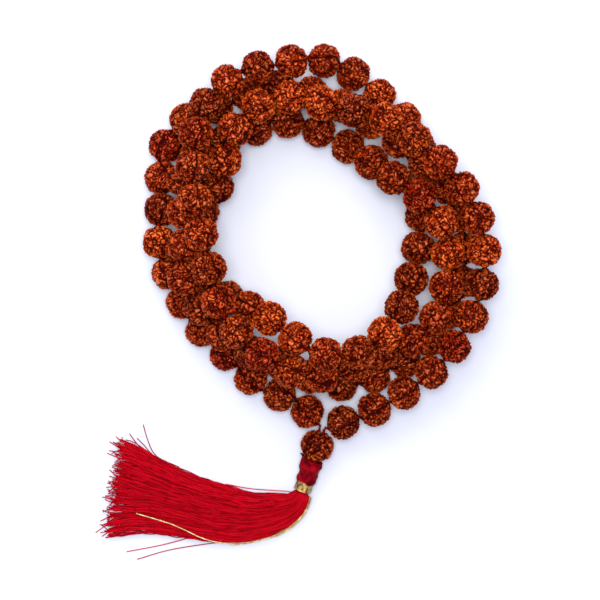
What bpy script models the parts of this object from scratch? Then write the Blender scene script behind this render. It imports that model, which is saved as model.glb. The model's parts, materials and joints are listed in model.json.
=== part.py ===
"""Prayer beads: 108 seed beads and a guru bead on one string, lying in four turns, with a silk tassel.

The string leaves the guru bead, goes round four times and comes back into it. Both of its ends pass
through the guru bead and are tied inside the neck of the tassel. Units are metres, and +Z is up.
"""

import math

import bpy
import numpy as np
from mathutils import Matrix, Vector

MM = 0.001

# Beads. A bead is a seed ground flat at both ends of its bore.
BEAD_COUNT = 108
BEAD_RADIUS = 4.1 * MM
BEAD_HALF_LENGTH = 3.7 * MM
BEAD_PITCH = 8.1 * MM
BEAD_CLEARANCE = 0.2 * MM
SHOULDER_RADIUS = 3.1 * MM
SHOULDER_HEIGHT = 2.6 * MM
BORE_RADIUS = 0.7 * MM
MOUTH_RADIUS = 1.0 * MM
WAIST_RADIUS = 1.3 * MM
BEAD_SIDES = 8

# The beads next to the guru bead are single pieces. The others are in runs, joined round the string.
SINGLE_BEADS = 16
RUN_LENGTH = 4

# Guru bead, and where it lies with its bore pointing away from the tassel.
GURU_CENTRE = np.array([-0.2, -49.6, 4.2]) * MM
GURU_BORE = np.array([0.28, 0.955, 0.1]) / np.linalg.norm([0.28, 0.955, 0.1])
GURU_BORE_RADIUS = 1.3 * MM
GURU_MOUTH_RADIUS = 1.7 * MM
GURU_MOUTH_REACH = 3.9 * MM

# String.
STRING_RADIUS = 0.4 * MM
STRING_SPACING = 1.1 * MM
STRING_END_REACH = 4.0 * MM
FREE_STRING = 1.5 * MM
SHARPEST_BEND = math.radians(34)

# Where every second bead of the coil lies, in millimetres: x, y and the height of the strand.
# The four turns go round anticlockwise, from the guru bead back to it.
ROUTE = np.array([
    # First turn: outside on the right, over the others at the back, inside on the left.
    (6, -44, 4), (21, -36.5, 8), (32.5, -26, 12), (38, -10.5, 15), (37, 4.5, 16), (28, 17, 17),
    (15, 27.5, 16), (0, 30.5, 13), (-14, 28.5, 12), (-24, 16.5, 11), (-28.5, 5, 5), (-28.5, -5, 4),
    # Second turn: inside at the front and on the right, outside at the back, on top on the left.
    (-17.5, -16.5, 8), (-6, -25, 12), (9, -28.5, 11), (20, -17, 6), (24, -2.5, 4), (26.5, 12.5, 4),
    (20.5, 27.5, 4), (8.5, 38, 4), (-7, 40.5, 5), (-21, 36, 9), (-28, 24, 14), (-29, 8, 18),
    (-25.5, -7.5, 18),
    # Third turn: under the others at the front, inside at the back, hidden on the left.
    (-19.5, -22.5, 12), (-4.5, -30.5, 4), (10, -30.5, 4), (22.5, -24.5, 4), (31, -12, 10),
    (29.5, 3, 12), (18, 14, 9), (7, 21.5, 4), (-6.5, 28, 4), (-20.5, 22.5, 4), (-28.5, 9.5, 9),
    (-29.5, -2, 11), (-26, -14, 8),
    # Fourth turn: hidden on the right, outside on the left, down to the guru bead.
    (-17, -27.5, 4), (-2, -34.5, 9), (14, -33, 11), (26, -25, 12), (34, -12, 5), (33.5, 3.5, 4),
    (25, 16.5, 5), (12, 27.5, 4), (-3, 34.5, 5), (-17, 33.5, 6), (-31, 27, 4), (-36.5, 14, 4),
    (-36.5, -1, 4), (-31, -15, 4), (-21.5, -27, 4), (-8.5, -37.5, 4),
]) * MM
LAST_BEAD = np.array([-2.5, -42, 4]) * MM
# The listed places that lie loosely, under other turns, and how strongly those and the others are held.
LOOSE = [10, 11, 17, 26, 27, 34, 35, 36, 37, 42, 43, 44, 45]
HOLD, LOOSE_HOLD = 0.5, 0.15

# Tassel, measured outwards along its neck from the knot that ties the string.
NECK_DIRECTION = np.array([-0.32, -0.93, -0.16]) / np.linalg.norm([-0.32, -0.93, -0.16])
KNOT_FROM_GURU = 1.6 * MM
KNOT_RADIUS = 1.15 * MM
SLEEVE_START, SLEEVE_END = -0.2 * MM, 3.2 * MM
SLEEVE_RADIUS, SLEEVE_TOP_RADIUS, SLEEVE_BORE = 2.45 * MM, 2.0 * MM, 1.75 * MM
CORE_START, CORE_END = 1.7 * MM, 5.2 * MM
CORE_RADIUS = 1.4 * MM
BAND_START, BAND_END = 3.5 * MM, 5.9 * MM
BAND_RADIUS, BAND_BORE = 2.25 * MM, 1.8 * MM
SWAY_PIVOT = 6.0 * MM
SKIRT_START, SKIRT_FULL = 6.2 * MM, 7.0 * MM
SKIRT_START_RADIUS, SKIRT_FULL_RADIUS = 1.3 * MM, 2.15 * MM
ROUND_SIDES = 16

# Skirt of the tassel after its neck, in millimetres: centre x, centre y, half width and height.
SKIRT_STATIONS = np.array([
    (-5.4, -63.5, 2.9, 4.3), (-9.2, -65.2, 4.5, 4.1), (-15.4, -66.5, 5.8, 3.8),
    (-22.2, -66.0, 6.9, 3.5), (-30.4, -64.2, 7.6, 3.2), (-38.5, -62.0, 8.9, 2.9),
    (-45.4, -60.4, 11.2, 2.6), (-48.2, -60.0, 12.0, 2.4),
]) * MM
SKIRT_SIDES = 12
SKIRT_WAIST, SKIRT_BULGE = 0.40, 0.60

# Gold strand, from the band along the edge of the skirt and over it, in millimetres.
STRAND_RADIUS = 0.25 * MM
STRAND_STEP = 1.3 * MM
STRAND_ROUTE = np.array([
    (-1.1, -61.5, 2.5), (-1.5, -63.4, 1.7), (-3.0, -65.7, 1.0), (-6.5, -68.8, 0.6),
    (-10.3, -70.9, 0.45), (-14.0, -72.1, 0.45), (-17.5, -73.0, 0.6), (-21.0, -73.5, 1.1),
    (-24.4, -73.1, 2.1), (-27.6, -71.9, 3.0), (-31.1, -69.8, 3.6), (-35.0, -68.1, 3.7),
    (-39.3, -66.8, 3.4), (-43.1, -65.7, 3.2),
]) * MM


def clear_scene():
    for thing in list(bpy.data.objects):
        bpy.data.objects.remove(thing, do_unlink=True)


def finish(name, colour, roughness, metallic=0.0):
    """A plain Principled material."""
    made = bpy.data.materials.new(name)
    made.use_nodes = True
    shader = made.node_tree.nodes["Principled BSDF"]
    shader.inputs["Base Color"].default_value = (*colour, 1.0)
    shader.inputs["Roughness"].default_value = roughness
    shader.inputs["Metallic"].default_value = metallic
    made.diffuse_color = (*colour, 1.0)
    return made


def unit(vector):
    return vector / np.linalg.norm(vector)


# ---- Meshes from rings of points ----


def cross_axes(along):
    """Two axes square to `along`. The first points as nearly straight down as it can."""
    down = np.array([0.0, 0.0, -1.0])
    first = unit(down - np.dot(down, along) * along)
    return first, np.cross(along, first)


def ring(centre, along, radius, sides):
    """A circle of points round `along`, with one point at the bottom."""
    first, second = cross_axes(along)
    angles = [math.tau * side / sides for side in range(sides)]
    return [centre + radius * (math.cos(a) * first + math.sin(a) * second) for a in angles]


def skin_of(rings, closed):
    """The vertices and faces of a surface over rings, closed into a loop or capped at both ends."""
    sides = len(rings[0])
    points = [point for one in rings for point in one]
    faces = []
    for row in range(len(rings) if closed else len(rings) - 1):
        here, beyond = row * sides, (row + 1) % len(rings) * sides
        for side in range(sides):
            after = (side + 1) % sides
            faces.append((here + side, here + after, beyond + after, beyond + side))
    if not closed:
        faces.append(tuple(reversed(range(sides))))
        faces.append(tuple(range(len(points) - sides, len(points))))
    return points, faces


def add_skin(name, rings, material, closed=True, origin=None, turn=None):
    """An object whose mesh is the skin over the rings, given from its own origin."""
    points, faces = skin_of(rings, closed)
    mesh = bpy.data.meshes.new(name)
    mesh.from_pydata([Vector(point) for point in points], [], faces)
    return add_mesh(name, mesh, material, origin, turn)


def add_mesh(name, mesh, material, origin=None, turn=None):
    if not mesh.materials:
        mesh.materials.append(material)
        mesh.shade_smooth()
        mesh.set_sharp_from_angle(angle=math.radians(50))
    made = bpy.data.objects.new(name, mesh)
    made.matrix_world = Matrix.Translation(Vector(np.zeros(3) if origin is None else origin))
    if turn is not None:
        made.matrix_world = made.matrix_world @ turn.to_4x4()
    bpy.context.scene.collection.objects.link(made)
    return made


def turn_along(along):
    """The rotation that takes +Z to `along` and +X as nearly straight down as it can."""
    first, second = cross_axes(along)
    return Matrix((first, second, along)).transposed()


def turned_rings(profile, sides):
    """Rings round +Z from (radius, height) pairs, given up the outside and down the bore."""
    angles = [math.tau * side / sides for side in range(sides)]
    return [
        [np.array([radius * math.cos(a), radius * math.sin(a), height]) for a in angles]
        for radius, height in profile
    ]


# ---- How the string of beads lies ----


def first_guess():
    """The string's vertices, one before and one after each bead, on the route."""
    ends = np.vstack([ROUTE[:1], ROUTE, LAST_BEAD, LAST_BEAD])
    knots = ends[1:-1]
    between = (9 * (knots[:-1] + knots[1:]) - ends[:-3] - ends[3:]) / 16
    beads = np.empty((BEAD_COUNT, 3))
    beads[0::2] = knots[:-1]
    beads[1::2] = between
    mouth = guru_mouth()
    string = np.empty((BEAD_COUNT + 1, 3))
    string[1:-1] = (beads[1:] + beads[:-1]) / 2
    string[0] = mouth + (beads[0] - mouth) * 0.2
    string[-1] = mouth + (beads[-1] - mouth) * 0.2
    return string


def guru_mouth():
    return GURU_CENTRE + GURU_BORE * GURU_MOUTH_REACH


def hold_pitch(string):
    """Moves neighbouring vertices until they are one pitch apart."""
    for start in (0, 1):
        before, after = string[start:-1:2], string[start + 1 :: 2]
        step = after - before
        length = np.linalg.norm(step, axis=1, keepdims=True)
        change = step * (length - BEAD_PITCH) / length / 2
        before += change
        after -= change


def hold_ends(string):
    """Keeps both ends of the bead string close to the mouth of the guru bead."""
    mouth = guru_mouth()
    for end in (0, -1):
        away = string[end] - mouth
        length = np.linalg.norm(away)
        if length > FREE_STRING:
            string[end] -= away * (length - FREE_STRING) / length


def ease_bends(string):
    """Opens each bend that is sharper than two beads can make."""
    span = string[2:] - string[:-2]
    length = np.linalg.norm(span, axis=1, keepdims=True)
    shortest = 2 * BEAD_PITCH * math.cos(SHARPEST_BEND / 2)
    change = span * np.clip(shortest - length, 0, None) / length / 4
    string[2:] += change
    string[:-2] -= change


def part_beads(string, pairs):
    """Moves beads apart where they come closer than they can, and up off the ground."""
    apart = 2 * BEAD_RADIUS + BEAD_CLEARANCE
    beads = (string[1:] + string[:-1]) / 2
    first, second = pairs
    gap = beads[second] - beads[first]
    length = np.linalg.norm(gap, axis=1)
    near = length < apart
    first, second, gap, length = first[near], second[near], gap[near], length[near, None]
    change = gap * (apart - length) / length * 0.45
    moved = np.zeros_like(beads)
    np.add.at(moved, first, -change)
    np.add.at(moved, second, change)
    from_guru = beads - GURU_CENTRE
    length = np.linalg.norm(from_guru, axis=1, keepdims=True)
    moved += from_guru / length * np.clip(apart - length, 0, None)
    moved[:, 2] += np.clip(BEAD_RADIUS - beads[:, 2], 0, None)
    string[:-1] += moved * 0.8
    string[1:] += moved * 0.8


def lay_string():
    """The string's vertices once its beads lie on the ground and on each other along the route."""
    layering, settling, easing, rounds = 100, 340, 60, 10
    drop = 0.05 * MM
    string = first_guess()
    pairs = np.triu_indices(BEAD_COUNT, 2)
    hold = np.full((len(ROUTE), 1), HOLD)
    hold[LOOSE] = LOOSE_HOLD
    for step in range(layering + settling + easing):
        if step < layering + settling:
            beads = (string[1:] + string[:-1]) / 2
            moved = np.zeros_like(beads)
            moved[0::2] = (ROUTE - beads[0::2]) * hold
            moved[:, 2] *= 0.15 if step < layering else 0.0
            moved[:, 2] -= 0.0 if step < layering else drop
            string[:-1] += moved / 2
            string[1:] += moved / 2
        for _ in range(rounds):
            hold_pitch(string)
            hold_ends(string)
            ease_bends(string)
            part_beads(string, pairs)
    return string


# ---- Pieces ----


def bead_profile(bore, mouth):
    """Once round a bead's section, up the outside and down the bore."""
    return [
        (bore, -BEAD_HALF_LENGTH), (mouth, -BEAD_HALF_LENGTH), (SHOULDER_RADIUS, -SHOULDER_HEIGHT),
        (BEAD_RADIUS, 0.0), (SHOULDER_RADIUS, SHOULDER_HEIGHT), (mouth, BEAD_HALF_LENGTH),
        (bore, BEAD_HALF_LENGTH),
    ]


def add_single_bead(number, mesh, string, material):
    start, end = string[number - 1], string[number]
    centre, along = (start + end) / 2, unit(end - start)
    return add_mesh(f"bead_{number:03d}", mesh, material, centre, turn_along(along))


def add_bead_run(first, string, material):
    """Beads joined by a narrow waist at each gap, with one bore that follows the string."""
    last = first + RUN_LENGTH - 1
    starts, ends = string[first - 1 : last], string[first : last + 1]
    centres = (starts + ends) / 2
    along = [unit(end - start) for start, end in zip(starts, ends)]
    origin = centres[0]

    def disc(place, direction, radius):
        return ring(place - origin, direction, radius, BEAD_SIDES)

    gaps = [(ends[i], unit(along[i] + along[i + 1])) for i in range(RUN_LENGTH - 1)]
    head = (centres[0] - along[0] * BEAD_HALF_LENGTH, along[0])
    tail = (centres[-1] + along[-1] * BEAD_HALF_LENGTH, along[-1])
    rings = [disc(*head, MOUTH_RADIUS)]
    for number, (centre, way) in enumerate(zip(centres, along)):
        rings.append(disc(centre - way * SHOULDER_HEIGHT, way, SHOULDER_RADIUS))
        rings.append(disc(centre, way, BEAD_RADIUS))
        rings.append(disc(centre + way * SHOULDER_HEIGHT, way, SHOULDER_RADIUS))
        if number < RUN_LENGTH - 1:
            rings.append(disc(*gaps[number], WAIST_RADIUS))
    rings.append(disc(*tail, MOUTH_RADIUS))
    rings += [disc(*place, BORE_RADIUS) for place in [tail, *reversed(gaps), head]]
    return add_skin(f"bead_run_{first:03d}_{last:03d}", rings, material, origin=origin)


def add_tube(name, points, radius, material, origin):
    """A round cord through the points, with closed ends."""
    curve = bpy.data.curves.new(name, "CURVE")
    curve.dimensions = "3D"
    curve.bevel_depth = radius
    curve.bevel_resolution = 2
    curve.use_fill_caps = True
    curve.materials.append(material)
    spline = curve.splines.new("POLY")
    spline.points.add(len(points) - 1)
    for target, point in zip(spline.points, points):
        target.co = (*(point - origin), 1.0)
    made = bpy.data.objects.new(name, curve)
    made.location = Vector(origin)
    bpy.context.scene.collection.objects.link(made)
    return made


def add_string(string, material):
    """Both ends lie side by side in the bore of the guru bead."""
    sideways = unit(np.cross(GURU_BORE, (0.0, 0.0, 1.0))) * STRING_SPACING / 2
    below = GURU_CENTRE - GURU_BORE * STRING_END_REACH
    above = guru_mouth()
    points = [below + sideways, above + sideways, *string, above - sideways, below - sideways]
    return add_tube("stringing_cord", points, STRING_RADIUS, material, GURU_CENTRE)


def smooth_route(points, step):
    """Points about `step` apart on the smooth curve through the given ones."""
    ends = np.vstack([2 * points[0] - points[1], points, 2 * points[-1] - points[-2]])
    found = []
    for before, start, end, after in zip(ends, ends[1:], ends[2:], ends[3:]):
        pieces = max(1, round(np.linalg.norm(end - start) / step))
        for piece in range(pieces):
            t = piece / pieces
            bend = 2 * before - 5 * start + 4 * end - after
            twist = 3 * start - before - 3 * end + after
            found.append(start + ((end - before) * t + bend * t**2 + twist * t**3) / 2)
    return np.array([*found, points[-1]])


def add_turned(name, profile, material, pivot, turn, closed=True):
    return add_skin(name, turned_rings(profile, ROUND_SIDES), material, closed, pivot, turn)


def skirt_section(centre, along, half_width, height):
    """A flat-bottomed section that stands on the ground, square to the skirt's run."""
    sideways = np.cross((0.0, 0.0, 1.0), along)
    points = []
    for side in range(SKIRT_SIDES):
        angle = math.tau * (side + 0.5) / SKIRT_SIDES
        out = half_width * math.cos(angle) / math.cos(math.pi / SKIRT_SIDES)
        up = height * max(0.0, SKIRT_WAIST + SKIRT_BULGE * math.sin(angle))
        points.append(np.array([centre[0], centre[1], up]) + sideways * out)
    return points


def neck_section(knot, reach, radius):
    """A round section square to the neck, with its points in the order of skirt_section."""
    sideways = unit(np.cross((0.0, 0.0, 1.0), NECK_DIRECTION))
    upward = np.cross(NECK_DIRECTION, sideways)
    centre = knot + NECK_DIRECTION * reach
    angles = [math.tau * (side + 0.5) / SKIRT_SIDES for side in range(SKIRT_SIDES)]
    return [centre + radius * (math.cos(a) * sideways + math.sin(a) * upward) for a in angles]


def add_skirt(knot, material):
    """The spread threads, as one solid that flattens from the neck to the cut ends."""
    pivot = knot + NECK_DIRECTION * SWAY_PIVOT
    sections = [
        neck_section(knot, SKIRT_START, SKIRT_START_RADIUS),
        neck_section(knot, SKIRT_FULL, SKIRT_FULL_RADIUS),
    ]
    places = np.pad(SKIRT_STATIONS[:, :2], ((0, 0), (0, 1)))
    full = knot + NECK_DIRECTION * SKIRT_FULL
    run = np.vstack([[full[0], full[1], 0.0], places])
    for number, (_, _, half_width, height) in enumerate(SKIRT_STATIONS):
        beyond = run[min(number + 2, len(places))]
        along = unit(beyond - run[number])
        sections.append(skirt_section(places[number], along, half_width, height))
    rings = [[point - pivot for point in section] for section in sections]
    return add_skin("tassel_skirt", rings, material, closed=False, origin=pivot)


def add_tassel(silk, satin, zari, cotton):
    knot = GURU_CENTRE - GURU_BORE * GURU_MOUTH_REACH + NECK_DIRECTION * KNOT_FROM_GURU
    turn = turn_along(NECK_DIRECTION)
    half_turn = range(-3, 4)
    ball = [
        (KNOT_RADIUS * math.cos(math.radians(27 * i)), KNOT_RADIUS * math.sin(math.radians(27 * i)))
        for i in half_turn
    ]
    rounded = SLEEVE_START + 0.8 * MM
    sleeve = [
        (SLEEVE_BORE, SLEEVE_START), (SLEEVE_TOP_RADIUS, SLEEVE_START), (SLEEVE_RADIUS, rounded),
        (SLEEVE_RADIUS, SLEEVE_END), (SLEEVE_BORE, SLEEVE_END),
    ]
    core = [(CORE_RADIUS, CORE_START), (CORE_RADIUS, CORE_END)]
    middle = (BAND_START + BAND_END) / 2
    band = [
        (BAND_BORE, BAND_START), (BAND_RADIUS - 0.1 * MM, BAND_START), (BAND_RADIUS, middle),
        (BAND_RADIUS - 0.1 * MM, BAND_END), (BAND_BORE, BAND_END),
    ]
    add_turned("tassel_knot", ball, cotton, knot, turn, closed=False)
    add_turned("neck_sleeve", sleeve, satin, knot, turn)
    add_turned("thread_core", core, silk, knot, turn, closed=False)
    add_turned("gold_band", band, zari, knot, turn)
    add_skirt(knot, silk)
    strand = smooth_route(STRAND_ROUTE, STRAND_STEP)
    add_tube("gold_strand", strand, STRAND_RADIUS, zari, knot + NECK_DIRECTION * SWAY_PIVOT)


def stand_on_origin():
    """Hangs all pieces on one empty, placed so that the middle of their footprint is the origin."""
    bpy.context.view_layer.update()
    pieces = list(bpy.context.scene.collection.objects)
    solid = [piece for piece in pieces if piece.name != "gold_strand"]
    graph = bpy.context.evaluated_depsgraph_get()
    corners = []
    for piece in solid:
        shape = piece.evaluated_get(graph).to_mesh()
        corners += [piece.matrix_world @ vertex.co for vertex in shape.vertices]
    corners = np.array(corners)
    middle = (corners.min(axis=0) + corners.max(axis=0)) / 2
    base = bpy.data.objects.new("mala", None)
    bpy.context.scene.collection.objects.link(base)
    base.location = (-middle[0], -middle[1], -corners[:, 2].min())
    for piece in pieces:
        piece.parent = base


def build():
    clear_scene()
    seed = finish("rudraksha_seed", (0.42, 0.12, 0.035), 0.5)
    guru_seed = finish("guru_seed", (0.33, 0.10, 0.03), 0.5)
    cotton = finish("cotton_string", (0.45, 0.02, 0.03), 0.9)
    satin = finish("satin_thread", (0.38, 0.0, 0.02), 0.45)
    silk = finish("silk_thread", (0.62, 0.0, 0.01), 0.55)
    zari = finish("zari_thread", (0.72, 0.56, 0.22), 0.35, 0.9)
    string = lay_string()
    bead_mesh = bpy.data.meshes.new("bead")
    bead_rings = turned_rings(bead_profile(BORE_RADIUS, MOUTH_RADIUS), BEAD_SIDES)
    points, faces = skin_of(bead_rings, closed=True)
    bead_mesh.from_pydata([Vector(point) for point in points], [], faces)
    from_end = BEAD_COUNT - SINGLE_BEADS
    for number in [*range(1, SINGLE_BEADS + 1), *range(from_end + 1, BEAD_COUNT + 1)]:
        add_single_bead(number, bead_mesh, string, seed)
    for first in range(SINGLE_BEADS + 1, from_end, RUN_LENGTH):
        add_bead_run(first, string, seed)
    guru_rings = turned_rings(bead_profile(GURU_BORE_RADIUS, GURU_MOUTH_RADIUS), BEAD_SIDES)
    add_skin("guru_bead", guru_rings, guru_seed, True, GURU_CENTRE, turn_along(GURU_BORE))
    add_string(string, cotton)
    add_tassel(silk, satin, zari, cotton)
    stand_on_origin()


build()
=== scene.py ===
"""Prayer beads of rudraksha seeds: 108 beads and a guru bead on one red string, lying in four turns, with a
silk tassel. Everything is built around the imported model, in metres, with +Z up.
"""

import json
import math

import bmesh
import bpy
import numpy as np
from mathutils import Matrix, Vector


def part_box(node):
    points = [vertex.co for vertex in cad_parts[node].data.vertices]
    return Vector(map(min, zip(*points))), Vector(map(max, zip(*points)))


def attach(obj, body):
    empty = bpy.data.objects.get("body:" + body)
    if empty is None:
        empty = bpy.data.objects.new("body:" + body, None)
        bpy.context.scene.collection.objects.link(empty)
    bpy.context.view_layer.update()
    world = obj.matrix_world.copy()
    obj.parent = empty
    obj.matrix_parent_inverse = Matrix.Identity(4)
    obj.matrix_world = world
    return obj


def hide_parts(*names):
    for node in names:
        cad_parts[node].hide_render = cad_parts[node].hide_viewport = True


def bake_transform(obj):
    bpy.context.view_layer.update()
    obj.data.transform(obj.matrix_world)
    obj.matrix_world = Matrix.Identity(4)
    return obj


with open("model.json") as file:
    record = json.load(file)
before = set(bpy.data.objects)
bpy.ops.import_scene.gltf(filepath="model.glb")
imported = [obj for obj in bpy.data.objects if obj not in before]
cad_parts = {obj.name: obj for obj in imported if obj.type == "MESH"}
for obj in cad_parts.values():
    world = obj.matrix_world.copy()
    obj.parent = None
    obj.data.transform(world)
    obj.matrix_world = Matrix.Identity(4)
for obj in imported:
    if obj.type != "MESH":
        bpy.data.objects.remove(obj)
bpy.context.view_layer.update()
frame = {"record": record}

MM = 0.001


# ---- The lie of the string ----
# The beads are threaded one after another and the loop is laid down in four turns, so each bead rests on the
# ground or on the beads under it. The same string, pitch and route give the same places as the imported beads.

BEAD_COUNT = 108
BEAD_RADIUS = 4.1 * MM
BEAD_PITCH = 8.1 * MM
BEAD_CLEARANCE = 0.2 * MM
FREE_STRING = 1.5 * MM
SHARPEST_BEND = math.radians(34)
GURU_PLACE = np.array([-0.2, -49.6, 4.2]) * MM
GURU_BORE = np.array([0.28, 0.955, 0.1]) / np.linalg.norm([0.28, 0.955, 0.1])
GURU_MOUTH_REACH = 3.9 * MM
ROUTE = np.array([
    # First turn: outside on the right, over the others at the back, inside on the left.
    (6, -44, 4), (21, -36.5, 8), (32.5, -26, 12), (38, -10.5, 15), (37, 4.5, 16), (28, 17, 17),
    (15, 27.5, 16), (0, 30.5, 13), (-14, 28.5, 12), (-24, 16.5, 11), (-28.5, 5, 5), (-28.5, -5, 4),
    # Second turn: inside at the front and on the right, outside at the back, on top on the left.
    (-17.5, -16.5, 8), (-6, -25, 12), (9, -28.5, 11), (20, -17, 6), (24, -2.5, 4), (26.5, 12.5, 4),
    (20.5, 27.5, 4), (8.5, 38, 4), (-7, 40.5, 5), (-21, 36, 9), (-28, 24, 14), (-29, 8, 18),
    (-25.5, -7.5, 18),
    # Third turn: under the others at the front, inside at the back, hidden on the left.
    (-19.5, -22.5, 12), (-4.5, -30.5, 4), (10, -30.5, 4), (22.5, -24.5, 4), (31, -12, 10),
    (29.5, 3, 12), (18, 14, 9), (7, 21.5, 4), (-6.5, 28, 4), (-20.5, 22.5, 4), (-28.5, 9.5, 9),
    (-29.5, -2, 11), (-26, -14, 8),
    # Fourth turn: hidden on the right, outside on the left, down to the guru bead.
    (-17, -27.5, 4), (-2, -34.5, 9), (14, -33, 11), (26, -25, 12), (34, -12, 5), (33.5, 3.5, 4),
    (25, 16.5, 5), (12, 27.5, 4), (-3, 34.5, 5), (-17, 33.5, 6), (-31, 27, 4), (-36.5, 14, 4),
    (-36.5, -1, 4), (-31, -15, 4), (-21.5, -27, 4), (-8.5, -37.5, 4),
]) * MM
LAST_BEAD = np.array([-2.5, -42, 4]) * MM
# The listed places that lie loosely, under other turns, and how strongly those and the others are held.
LOOSE = [10, 11, 17, 26, 27, 34, 35, 36, 37, 42, 43, 44, 45]
HOLD, LOOSE_HOLD, HEIGHT_HOLD = 0.5, 0.15, 0.15
# Where the string's end vertices start between the guru bead's mouth and the next bead, and how much of
# the way two overlapping beads, and then the vertices beside them, move in one round.
START_SHARE = 0.2
PART_SHARE, MOVE_SHARE = 0.45, 0.8


def unit(vector):
    return vector / np.linalg.norm(vector)


def first_guess(mouth):
    """The string's vertices, one before and one after each bead, on the route."""
    ends = np.vstack([ROUTE[:1], ROUTE, LAST_BEAD, LAST_BEAD])
    knots = ends[1:-1]
    beads = np.empty((BEAD_COUNT, 3))
    beads[0::2] = knots[:-1]
    beads[1::2] = (9 * (knots[:-1] + knots[1:]) - ends[:-3] - ends[3:]) / 16
    string = np.empty((BEAD_COUNT + 1, 3))
    string[1:-1] = (beads[1:] + beads[:-1]) / 2
    string[0] = mouth + (beads[0] - mouth) * START_SHARE
    string[-1] = mouth + (beads[-1] - mouth) * START_SHARE
    return string


def hold_pitch(string):
    """Moves neighbouring vertices until they are one pitch apart."""
    for start in (0, 1):
        before, after = string[start:-1:2], string[start + 1 :: 2]
        step = after - before
        length = np.linalg.norm(step, axis=1, keepdims=True)
        change = step * (length - BEAD_PITCH) / length / 2
        before += change
        after -= change


def hold_ends(string, mouth):
    """Keeps both ends of the bead string close to the mouth of the guru bead."""
    for end in (0, -1):
        away = string[end] - mouth
        length = np.linalg.norm(away)
        if length > FREE_STRING:
            string[end] -= away * (length - FREE_STRING) / length


def ease_bends(string):
    """Opens each bend that is sharper than two beads can make."""
    span = string[2:] - string[:-2]
    length = np.linalg.norm(span, axis=1, keepdims=True)
    shortest = 2 * BEAD_PITCH * math.cos(SHARPEST_BEND / 2)
    change = span * np.clip(shortest - length, 0, None) / length / 4
    string[2:] += change
    string[:-2] -= change


def part_beads(string, pairs):
    """Moves beads apart where they come closer than they can, and up off the ground."""
    apart = 2 * BEAD_RADIUS + BEAD_CLEARANCE
    beads = (string[1:] + string[:-1]) / 2
    first, second = pairs
    gap = beads[second] - beads[first]
    length = np.linalg.norm(gap, axis=1)
    near = length < apart
    first, second, gap, length = first[near], second[near], gap[near], length[near, None]
    change = gap * (apart - length) / length * PART_SHARE
    moved = np.zeros_like(beads)
    np.add.at(moved, first, -change)
    np.add.at(moved, second, change)
    from_guru = beads - GURU_PLACE
    length = np.linalg.norm(from_guru, axis=1, keepdims=True)
    moved += from_guru / length * np.clip(apart - length, 0, None)
    moved[:, 2] += np.clip(BEAD_RADIUS - beads[:, 2], 0, None)
    string[:-1] += moved * MOVE_SHARE
    string[1:] += moved * MOVE_SHARE


def lay_string():
    """The string's vertices once its beads lie on the ground and on each other along the route."""
    layering, settling, easing, rounds = 100, 340, 60, 10
    drop = 0.05 * MM
    mouth = GURU_PLACE + GURU_BORE * GURU_MOUTH_REACH
    string = first_guess(mouth)
    pairs = np.triu_indices(BEAD_COUNT, 2)
    hold = np.full((len(ROUTE), 1), HOLD)
    hold[LOOSE] = LOOSE_HOLD
    for step in range(layering + settling + easing):
        if step < layering + settling:
            beads = (string[1:] + string[:-1]) / 2
            moved = np.zeros_like(beads)
            moved[0::2] = (ROUTE - beads[0::2]) * hold
            moved[:, 2] *= HEIGHT_HOLD if step < layering else 0.0
            moved[:, 2] -= 0.0 if step < layering else drop
            string[:-1] += moved / 2
            string[1:] += moved / 2
        for _ in range(rounds):
            hold_pitch(string)
            hold_ends(string, mouth)
            ease_bends(string)
            part_beads(string, pairs)
    return string


guru_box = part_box("guru_bead")
guru_centre = np.array(guru_box[0] + guru_box[1]) / 2
laid = lay_string() + (guru_centre - GURU_PLACE)
bead_centres = (laid[1:] + laid[:-1]) / 2
bead_bores = (laid[1:] - laid[:-1]) / np.linalg.norm(laid[1:] - laid[:-1], axis=1, keepdims=True)


# ---- Seed beads ----
# Each is a ripe rudraksha seed, about 8 mm across, bored through and oiled. Its hard shell is covered in
# knobs and winding ridges, parted by five grooves that run from one end of the bore to the other.


class Value:
    """A number or vector that a node makes. Python's operators on it add Math or Vector Math nodes."""

    def __init__(self, tree, socket):
        self.tree, self.socket = tree, socket

    def combine(self, operation, first, second):
        vectors = [
            isinstance(v, tuple) or isinstance(v, Value) and v.socket.type == "VECTOR"
            for v in (first, second)
        ]
        if operation == "MULTIPLY" and vectors[0] != vectors[1]:
            vector, number = (first, second) if vectors[0] else (second, first)
            inputs = {0: vector, "Scale": number}
            return self.tree.add("ShaderNodeVectorMath", {"operation": "SCALE"}, inputs)
        kind = "ShaderNodeVectorMath" if any(vectors) else "ShaderNodeMath"
        return self.tree.add(kind, {"operation": operation}, {0: first, 1: second})

    def __add__(self, other):
        return self.combine("ADD", self, other)

    def __radd__(self, other):
        return self.combine("ADD", other, self)

    def __sub__(self, other):
        return self.combine("SUBTRACT", self, other)

    def __rsub__(self, other):
        return self.combine("SUBTRACT", other, self)

    def __mul__(self, other):
        return self.combine("MULTIPLY", self, other)

    def __rmul__(self, other):
        return self.combine("MULTIPLY", other, self)

    def __truediv__(self, other):
        return self.combine("DIVIDE", self, other)


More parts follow.
